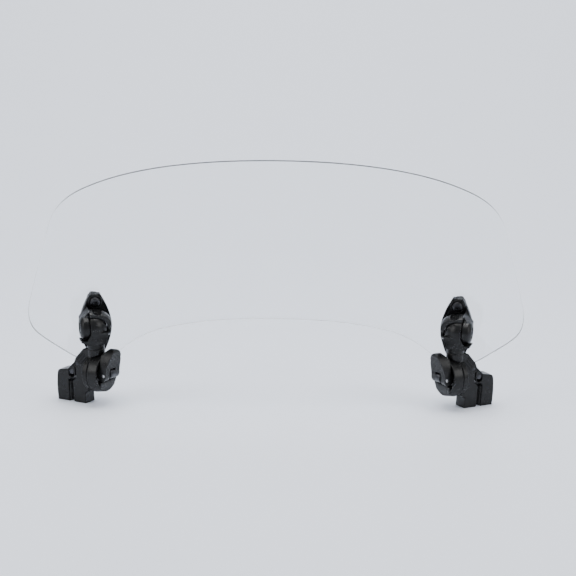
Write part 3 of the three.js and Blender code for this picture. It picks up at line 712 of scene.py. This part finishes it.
def mount_plate():
    at = TILT * Vector((0, 1, 1))
    plate = plate_body(at)
    head_room = [(HEAD_INNER - GAP, 0), *head_profile(HOOD_CLEARANCE), (HEAD_OUTER + 1, 0)]
    tools = [
        turned("x", head_room, at, 96),
        rod("x", 5, LUG_OUTER - 1, LUG_OUTER + 3.4, at),
        rod("x", SCREW_HOLE_RADIUS, -30, LUG_INNER + 1, at),
    ]
    for z in (SCREW_Z, -SCREW_Z):
        tools.append(rod("y", SCREW_HOLE_RADIUS, -30, 5, (0, 0, z)))
        tools.append(rod("y", HEAD_RECESS_RADIUS, -30, PLATE_FLOOR - 0.8, (0, 0, z)))
    pair("mount_plate", rounded(cut(plate, *tools), 0.3, 2), PLATE_FRAME, "screen", "black_plastic")


def plate_gasket():
    sheet = prism("y", plate_outline(0.6), GASKET_BACK, GASKET_FRONT)
    sheet = cut(sheet, *(rod("y", SHEET_HOLE_RADIUS, -9, 9, (0, 0, z)) for z in (SCREW_Z, -SCREW_Z)))
    pair("plate_gasket", bevelled(sheet, 0.2), PLATE_FRAME, "screen", "rubber")


def button_screw(length, thread_from):
    """A button-head screw along +X, its crown at 0, with a hex socket.

    Thread rings run from a place to its end.
    """
    height, radius, shank, pitch, depth = 2.6, 4.4, 2.4, 0.8, 0.3
    profile = [(0, 0), (0, 1.9), *bezier((0, 1.9), (0, 3.4), (1.2, 4.4), (2.2, radius), 10)]
    profile += [(height, radius - 0.2), (height, shank), (thread_from, shank)]
    turns = int((length - 0.8 - thread_from) / pitch)
    for i in range(turns):
        start = thread_from + i * pitch
        profile += [(start + 0.3, shank - depth), (start + 0.5, shank - depth), (start + pitch, shank)]
    profile += [(length, shank - 0.8), (length, 0)]
    return cut(turned("x", profile), rod("x", 1.72, -1, 1.6, segments=6))


def hex_nut(start, height, bore):
    """A hexagon along X with its corners chamfered at both ends."""
    end = start + height
    hexagon = turned("x", [(start, 0), (start, HEX_CORNER), (end, HEX_CORNER), (end, 0)], segments=6)
    wide = HEX_CORNER + 0.05
    lathe = [(start, 0), (start, HEX_FLAT), (start + 0.35, wide)]
    lathe += [(end - 0.35, wide), (end, HEX_FLAT), (end, 0)]
    return cut(common(hexagon, turned("x", lathe)), rod("x", bore, start - 1, end + 1))


def cap_nut():
    """A domed nut along X, blind at its dome."""
    height = 3.6
    hexagon = turned("x", [(0, 0), (0, HEX_CORNER), (height, HEX_CORNER), (height, 0)], segments=6)
    wide = HEX_CORNER + 0.05
    lathe = [(0, 0), (0, HEX_FLAT), (0.35, wide), (height - 0.3, wide), (height, HEX_FLAT), (height, 0)]
    dome = [(height - 0.4, 0), (height - 0.4, 3.55), (height, 3.55)]
    dome += bezier((height, 3.55), (height + 1.6, 3.4), (height + 2.8, 1.9), (height + 2.8, 0), 10)
    nut = joined(common(hexagon, turned("x", lathe)), turned("x", dome))
    return cut(nut, rod("x", SCREW_HOLE_RADIUS, -1, height - 0.4))


def along_y(mesh, y, z):
    """Something made along +X, turned to lie along +Y from a place on the plate."""
    return placed(mesh, Matrix.Translation((0, y, z)) @ Matrix.Rotation(math.radians(90), 4, "Z"))


def plate_fixings():
    sheet_front = SCREEN_THICKNESS + GAP
    for level, z in (("upper", SCREW_Z), ("lower", -SCREW_Z)):
        head = PLATE_FLOOR - 3.7
        screw = along_y(button_screw(sheet_front + 4 - head, 9), head, z)
        ring = [(0, 2.8), (0, 5.2), (0.3, 5.5), (0.7, 5.5), (1, 5.2), (1, 2.8), (0, 2.8)]
        washer = along_y(turned("x", ring), sheet_front, z)
        nut = along_y(cap_nut(), sheet_front + 1 + GAP, z)
        pair(f"{level}_screw", screw, PLATE_FRAME, "screen", "black_steel")
        pair(f"{level}_washer", washer, PLATE_FRAME, "screen", "rubber")
        pair(f"{level}_cap_nut", nut, PLATE_FRAME, "screen", "black_steel")


# ------------------------------------------------------------ knuckle, from the crossing of its axes
def knuckle_body(neck_top):
    """The domed head with a body under it that narrows to the neck, before it's drilled."""
    end = HEAD_OUTER - TILT.x - 0.3
    head = turned("x", [(HEAD_INNER, 0), *head_profile(), (HEAD_OUTER, 0)], (-TILT.x, 0, 0), 96)
    front = outline(
        (-NECK_RADIUS, SWIVEL_Z),
        [(-NECK_RADIUS, neck_top)],
        [(-NECK_RADIUS - 1, -12), (-11.4, -11.6), (-12.4, -10.6)],
        [(-12.4, -9.6)],
        [(-NECK_RADIUS, -9.6)],
        [(-NECK_RADIUS + 3, -3)],
        [(end, -3)],
        [(end, -8), (NECK_RADIUS + 0.6, -10.5), (NECK_RADIUS, neck_top)],
        [(NECK_RADIUS, SWIVEL_Z)],
    )
    half = outline(
        (11.2, 0),
        [(11.2, -2.6)],
        [(10, -7), (NECK_RADIUS + 0.4, -10), (NECK_RADIUS, neck_top)],
        [(NECK_RADIUS, SWIVEL_Z)],
    )
    side = half + [(-y, z) for y, z in half[::-1]]
    return joined(head, common(prism("y", front, -15, 15), prism("x", side, -15, 15)))


def knuckle():
    neck_top = SWIVEL_Z + NECK_LENGTH
    foot = SWIVEL_Z - 1
    collar = [(foot, NECK_RADIUS), (neck_top, NECK_RADIUS), (neck_top, 30), (foot, 30), (foot, NECK_RADIUS)]
    tools = [
        turned("z", collar),
        rod("x", LUG_RADIUS + 0.8, -20, HEAD_INNER - TILT.x),
        rod("x", SCREW_HOLE_RADIUS, -30, 30),
        rod("x", HEAD_RECESS_RADIUS, HEAD_OUTER - TILT.x - 4.4, 30, segments=6),
        rod("z", SWIVEL_HOLE_RADIUS, SWIVEL_Z - 1, SWIVEL_Z + 7),
        rod("y", 1.5, 2.5, 14, (0, 0, SWIVEL_Z + SET_SCREW_Z)),
    ]
    body = rounded(cut(knuckle_body(neck_top), *tools), 0.3, 4)
    pair("knuckle", body, TILT_FRAME, "knuckle", "black_plastic")


def tilt_fixings():
    head = LUG_OUTER + 0.4 - TILT.x
    screw = placed(button_screw(HEAD_OUTER - 0.6 - LUG_OUTER - 0.4, 14), Matrix.Translation((head, 0, 0)))
    pair("tilt_screw", screw, TILT_FRAME, "screen", "black_steel")
    pair("tilt_nut", hex_nut(HEAD_OUTER - 4.1 - TILT.x, 3.4, 2.5), TILT_FRAME, "knuckle", "black_steel")


def swivel_pin():
    radius, groove = SWIVEL_PIN_RADIUS, 2.1
    profile = [(-2.6, 0), (-2.6, radius - 0.4), (-2.2, radius), (0.9, radius), (0.9, groove), (4, groove)]
    profile += [(4, radius), (5.8, radius), (6.2, radius - 0.4), (6.2, 0)]
    pair("swivel_pin", turned("z", profile), SWIVEL_FRAME, "clamp", "bright_steel")


# ------------------------------------------------------------ clamp, from its clamping axis
def under_floor():
    """Everything below the floor, as the clamp's frame sees it."""
    slab = block((-400, 400), (-400, 400), (-60, 0))
    slab.transform(Matrix.Scale(MM, 4))
    return placed(slab, CLAMP_FRAME.inverted())


def pad_room(x):
    side = PAD_HALF_WIDTH + GAP
    return block(x, (-side, side), (PAD_SPAN[0] - GAP, PAD_SPAN[1] + GAP))


def strap_grooves():
    """Grooves in both sides of the frame that run down beside its strap's edge."""
    along = Vector((STRAP_BEND[0] - STRAP_HIGH[0], STRAP_BEND[1] - STRAP_HIGH[1])).normalized()
    inwards = Vector((-along.y, along.x))
    grooves = []
    for offset in STRAP_GROOVE_OFFSETS:
        top = Vector(STRAP_HIGH) + inwards * offset + along * STRAP_GROOVE_START
        foot = top + along * STRAP_GROOVE_LENGTH
        across = inwards * STRAP_GROOVE_WIDTH / 2
        line = [tuple(top - across), tuple(foot - across), tuple(foot + across), tuple(top + across)]
        for side in (-1, 1):
            ends = sorted((side * (JAW_HALF_WIDTH - STRAP_GROOVE_DEPTH), side * (JAW_HALF_WIDTH + 1)))
            grooves.append(prism("y", line, *ends))
    return grooves


def clamp_body():
    """The frame's leg, hinge ear, disc and boss in one, before it's drilled."""
    half = JAW_HALF_WIDTH
    leg = [
        (LEG_FRONT, FRAME_TOP), (LEG_FRONT, -12.5), (-4.6, -14.5), (INNER_FRONT, -17),
        (INNER_FRONT, JAW_LOW), (INNER_BACK, JAW_LOW), (INNER_BACK, -7.6),
        (-16.6, -4.4), (-16.6, 4.5), STRAP_LOW, STRAP_BEND, STRAP_HIGH,
    ]
    body = prism("y", leg, -half, half)
    ear = rod("y", CHEEK_RADIUS, -half, half, HINGE_AT)
    disc = turned("x", [
        (DISC_BACK, 0), (DISC_BACK, DISC_RADIUS), (LEG_FRONT - SEAM_CHAMFER, DISC_RADIUS),
        (LEG_FRONT, DISC_RADIUS - SEAM_CHAMFER), (LEG_FRONT, 0),
    ], segments=96)
    ring_room = rod("x", HOUSING_RADIUS + GAP, LEG_FRONT, 30, segments=96)
    boss = cut(placed(rod("z", NECK_RADIUS, -9, -GAP / 2), SWIVEL_IN_CLAMP), ring_room)
    return joined(body, ear, disc, boss)


def clamp_frame():
    tongue_edge = HINGE_X + TONGUE_RADIUS + 0.6
    tools = [
        block((-30, tongue_edge), (-TONGUE_HALF_WIDTH - GAP, TONGUE_HALF_WIDTH + GAP), (-2, 21)),
        placed(block((-30, 30), (-30, 30), (-GAP / 2, 30)), SWIVEL_IN_CLAMP),
        rod("x", BOLT_HOLE_RADIUS, -30, 30),
        pad_room((INNER_BACK - 1, INNER_BACK + 1)),
        rod("y", HINGE_HOLE_RADIUS, -20, 20, HINGE_AT),
        placed(rod("z", SWIVEL_HOLE_RADIUS, -2.9, 2), SWIVEL_IN_CLAMP),
        under_floor(),
        *strap_grooves(),
    ]
    body = rounded(cut(clamp_body(), *tools), 0.3, 4)
    pair("clamp_frame", body, CLAMP_FRAME, "clamp", "black_plastic")


def set_screw():
    at = (0, 0, SET_SCREW_Z)
    grub = turned("y", [(2.5, 0), (2.5, 1.1), (2.7, 1.3), (5.7, 1.3), (5.9, 1.1), (5.9, 0)], at)
    grub = cut(grub, rod("y", 0.7, 4.9, 7, at, 6))
    pair("set_screw", grub, SWIVEL_FRAME, "knuckle", "bright_steel")


def pad(name, face, inwards, body):
    ends = sorted((face, face + inwards * PAD_THICKNESS))
    sheet = block(ends, (-PAD_HALF_WIDTH, PAD_HALF_WIDTH), PAD_SPAN)
    depth, half = PAD_GROOVE_DEPTH, PAD_GROOVE_HALF_WIDTH
    for z in PAD_GROOVES:
        sheet = cut(sheet, block((face - depth, face + depth), (-7, 7), (z - half, z + half)))
    pair(name, bevelled(sheet, 0.12), CLAMP_FRAME, body, "rubber")


def jaw_body():
    """The outer jaw with its strap and hinge tongue, before it's drilled."""
    half = JAW_HALF_WIDTH
    profile = outline(
        (OUTER_FRONT, JAW_LOW),
        [(OUTER_FRONT, -6.5)],
        [(JAW_NOSE, -3.2)],
        [(JAW_NOSE, STRAP_LOW[1] - 0.1)],
        [(-24.8, JAW_TOP + 1)],
        [(OUTER_BACK + 3, JAW_TOP)],
        [(OUTER_BACK + 1, JAW_TOP), (OUTER_BACK, JAW_TOP - 1.5), (OUTER_BACK - 0.5, JAW_TOP - 5)],
        [(OUTER_BACK - 1.8, -13), (OUTER_BACK - 1.6, -22), (OUTER_BACK + 0.6, JAW_LOW)],
    )
    body = cut(prism("y", profile, -half, half), rod("y", CHEEK_RADIUS + 0.4, -20, 20, HINGE_AT))
    eye = rod("y", TONGUE_RADIUS, -TONGUE_HALF_WIDTH, TONGUE_HALF_WIDTH, HINGE_AT)
    tongue = [
        (HINGE_X - 0.4, HINGE_Z + TONGUE_RADIUS - 0.2), (-19.3, 6.9), (-21, 3.6),
        (JAW_NOSE, 2.4), (HINGE_X + 1, HINGE_Z - 2.3),
    ]
    return joined(body, eye, prism("y", tongue, -TONGUE_HALF_WIDTH, TONGUE_HALF_WIDTH))


def outer_jaw():
    inner, outer = NUT_X + 2.8, NUT_X - 2.6
    slot = [(outer, 0), (inner, 0), (inner, -NUT_SLOT_DEPTH), (outer, -NUT_SLOT_DEPTH)]
    tools = [rod("y", HINGE_HOLE_RADIUS, -20, 20, HINGE_AT), prism("y", slot, -20, 20)]
    tools += [rod("y", NUT_RADIUS + 0.3, -20, 20, (NUT_X + 0.1, 0, z)) for z in (0, -NUT_SLOT_DEPTH)]
    tools += [rod("x", BOLT_HOLE_RADIUS, NUT_X, 0, (0, 0, z)) for z in (0.6, -0.9, -2.4)]
    tools += [pad_room((OUTER_FRONT - 1, OUTER_FRONT + 1)), under_floor()]
    pair("outer_jaw", rounded(cut(jaw_body(), *tools), 0.3, 4), CLAMP_FRAME, "jaw", "black_plastic")


def hinge_pin():
    end = JAW_HALF_WIDTH - GAP
    pin = rod("y", HINGE_PIN_RADIUS, -end, end, HINGE_AT, chamfer=0.25)
    pair("hinge_pin", pin, CLAMP_FRAME, "clamp", "black_steel")


def barrel_nut():
    barrel = rod("y", NUT_RADIUS, -5.4, 5.4, (NUT_X, 0, 0), chamfer=0.3)
    barrel = cut(barrel, rod("x", BOLT_RADIUS + 0.3, NUT_X - 1.4, NUT_X + 10))
    pair("barrel_nut", barrel, CLAMP_FRAME, "bolt", "black_steel")


def draw_bolt():
    start, thread_end, radius, pitch = NUT_X - 1.1, -8, BOLT_RADIUS, 0.8
    profile = [(start, 0), (start, radius - 0.4)]
    for i in range(int((thread_end - start) / pitch)):
        x = start + 0.3 + i * pitch
        profile += [(x, radius), (x + 0.3, radius - 0.28), (x + 0.5, radius - 0.28)]
    profile += [(thread_end + 0.4, radius), (LEVER_PIN_X, radius), (LEVER_PIN_X, 0)]
    eye = rod("y", 3.8, -EYE_HALF_WIDTH, EYE_HALF_WIDTH, LEVER_PIN_AT, chamfer=0.4)
    bolt = cut(joined(turned("x", profile), eye), rod("y", LEVER_HOLE_RADIUS, -20, 20, LEVER_PIN_AT))
    pair("draw_bolt", bolt, CLAMP_FRAME, "bolt", "black_steel")


# ------------------------------------------------------------ cam housing and lever
def housing_fin():
    """The fin under the lever, hollowed for the cam."""
    floor = HOUSING_FLOOR - 0.5
    fin = outline(
        (floor, -5.5),
        [(floor + 4.2, -5.5)],
        [(11, -7), (9.9, -10), (HOUSING_RIM, -13)],
        [(floor, -13)],
    )
    cover = common(
        prism("y", fin, -LEVER_HALF_WIDTH, LEVER_HALF_WIDTH),
        rod("x", HOUSING_RIM_RADIUS, HOUSING_BACK, 30, segments=96),
    )
    cam_room = cut(rod("y", CAM_HIGH + 0.5, -20, 20, LEVER_PIN_AT), block((-10, 30), (-21, 21), (-5, 20)))
    return cut(cover, cam_room)


def cam_housing():
    wall = [
        (HOUSING_BACK, 0), (HOUSING_BACK, HOUSING_RADIUS - SEAM_CHAMFER),
        (HOUSING_BACK + SEAM_CHAMFER, HOUSING_RADIUS), (HOUSING_RIM, HOUSING_RIM_RADIUS), (HOUSING_RIM, 0),
    ]
    hollow = rod("x", CUP_RADIUS, HOUSING_FLOOR, HOUSING_RIM + 1, segments=96)
    cup = joined(cut(turned("x", wall, segments=128), hollow), housing_fin())
    cup = cut(cup, rod("x", BOLT_HOLE_RADIUS, -10, 30))
    pair("cam_housing", rounded(cup, 0.28, 4), CLAMP_FRAME, "clamp", "black_plastic")


def lever_profile():
    """The lever from its side: the cam's spiral round the pin, then up the back and down the front."""
    steps = 20
    points = []
    for i in range(steps + 1):
        share = i / steps
        radius = CAM_HIGH + (CAM_LOW - CAM_HIGH) * share
        turn = math.pi + share * LEVER_OPEN
        points.append((LEVER_PIN_X + radius * math.cos(turn), radius * math.sin(turn)))
    pin, top = LEVER_PIN_X, LEVER_TOP
    start, *curve = LEVER_BACK
    back = outline(
        points[-1],
        [(pin + 2, -3.2), (start[0], start[1] - 2), start],
        curve,
        [(20.9, top - 1.6), (19.6, top), (16.8, top)],
        [(14.6, top)],
        [(HOUSING_RIM + 0.5, top - 4.6)],
        [(HOUSING_RIM + 0.5, 6)],
        [(pin - CAM_HIGH + 0.4, 2.2)],
    )
    return points + back[1:]


def cam_lever():
    width, top = LEVER_HALF_WIDTH, LEVER_TOP
    body = prism("y", lever_profile(), -width, width)
    plan = outline(
        (-width, -10),
        [(-width, 2)],
        [(-width, 12.4), (-5.5, top), (0, top)],
        [(5.5, top), (width, 12.4), (width, 2)],
        [(width, -10)],
        steps=16,
    )
    lever = common(body, prism("x", plan, -5, 30))
    tools = [block((0, 40), (-EYE_HALF_WIDTH - 0.4, EYE_HALF_WIDTH + 0.4), (-10, 4.6))]
    tools.append(rod("y", LEVER_HOLE_RADIUS, -20, 20, LEVER_PIN_AT))
    line = bezier(*LEVER_BACK, 12)
    band = [(x - STRIATION_DEPTH, z) for x, z in line] + [(x + 3, z) for x, z in line[::-1]]
    for i in range(-4, 5):
        centre = i * STRIATION_PITCH
        tools.append(prism("y", band, centre - STRIATION_HALF_WIDTH, centre + STRIATION_HALF_WIDTH))
    pair("cam_lever", rounded(cut(lever, *tools), 0.22, 2), CLAMP_FRAME, "lever", "black_plastic")


def lever_pin():
    end = LEVER_HALF_WIDTH - 0.4
    pin = rod("y", LEVER_PIN_RADIUS, -end, end, LEVER_PIN_AT, chamfer=0.3)
    pair("lever_pin", pin, CLAMP_FRAME, "lever", "bright_steel")


def build_object():
    screen_panel()
    mount_plate()
    plate_gasket()
    plate_fixings()
    knuckle()
    tilt_fixings()
    swivel_pin()
    clamp_frame()
    set_screw()
    pad("inner_pad", INNER_PAD_FACE, 1, "clamp")
    outer_jaw()
    hinge_pin()
    pad("outer_pad", OUTER_PAD_FACE, -1, "jaw")
    barrel_nut()
    draw_bolt()
    cam_housing()
    cam_lever()
    lever_pin()


# ------------------------------------------------------------ floor, light and camera
def stage_material():
    material, tree, shader = nodes_of("pale_backdrop")
    place = coordinates(tree)
    base = ramp(tree, noise(tree, place, 1.6), [(0.3, (0.775, 0.815, 0.895)), (0.7, (0.79, 0.825, 0.905))])
    tree.links.new(base, shader.inputs["Base Color"])
    tree.links.new(spread(tree, noise(tree, place, 30), 0.5, 0.6), shader.inputs["Roughness"])
    return material


def backdrop():
    """A floor that curves up into a wall behind, in one sweep."""
    front, back, bend, height, half = -2.2, 1.3, 0.7, 2.6, 3.0
    line = [(front, 0.0), (back - bend, 0.0)]
    steps = 24
    for i in range(1, steps + 1):
        turn = i / steps * math.pi / 2
        line.append((back - bend + bend * math.sin(turn), bend - bend * math.cos(turn)))
    line.append((back, height))
    bm = bmesh.new()
    rows = [[bm.verts.new((x, y, z)) for y, z in line] for x in (-half, half)]
    for i in range(len(line) - 1):
        bm.faces.new((rows[0][i], rows[1][i], rows[1][i + 1], rows[0][i + 1]))
    mesh = bpy.data.meshes.new("backdrop")
    bm.to_mesh(mesh)
    bm.free()
    for polygon in mesh.polygons:
        polygon.use_smooth = True
    mesh.materials.append(stage_material())
    obj = bpy.data.objects.new("backdrop", mesh)
    bpy.context.scene.collection.objects.link(obj)


def softbox(name, place, aim, size, power):
    light = bpy.data.lights.new(name, "AREA")
    light.shape = "RECTANGLE"
    light.size, light.size_y = size
    light.energy = power
    obj = bpy.data.objects.new(name, light)
    obj.location = place
    obj.rotation_euler = (Vector(aim) - Vector(place)).to_track_quat("-Z", "Y").to_euler()
    bpy.context.scene.collection.objects.link(obj)


def lights():
    softbox("overhead", (0, 0.1, 1.9), (0, 0.1, 0), (1.6, 1.3), 46)
    softbox("left_side", (-1.5, -0.9, 1.0), (0, 0, 0.1), (0.9, 1.2), 14)
    softbox("right_side", (1.5, -0.9, 1.0), (0, 0, 0.1), (0.9, 1.2), 14)
    world = bpy.context.scene.world or bpy.data.worlds.new("studio")
    bpy.context.scene.world = world
    world.use_nodes = True
    world.node_tree.nodes["Background"].inputs["Color"].default_value = (0.93, 0.96, 1, 1)
    world.node_tree.nodes["Background"].inputs["Strength"].default_value = 0.58


def camera():
    data = bpy.data.cameras.new("camera")
    data.sensor_width = 36
    data.lens = CAMERA_LENS
    data.dof.use_dof = False
    away = Vector((0, -math.cos(CAMERA_ELEVATION), math.sin(CAMERA_ELEVATION)))
    obj = bpy.data.objects.new("camera", data)
    obj.location = CAMERA_AIM + away * CAMERA_DISTANCE
    level = (-away).to_track_quat("-Z", "Y").to_matrix()
    obj.rotation_euler = (level @ Matrix.Rotation(CAMERA_ROLL, 3, "Z")).to_euler()
    bpy.context.scene.collection.objects.link(obj)
    bpy.context.scene.camera = obj


build_object()
backdrop()
lights()
camera()
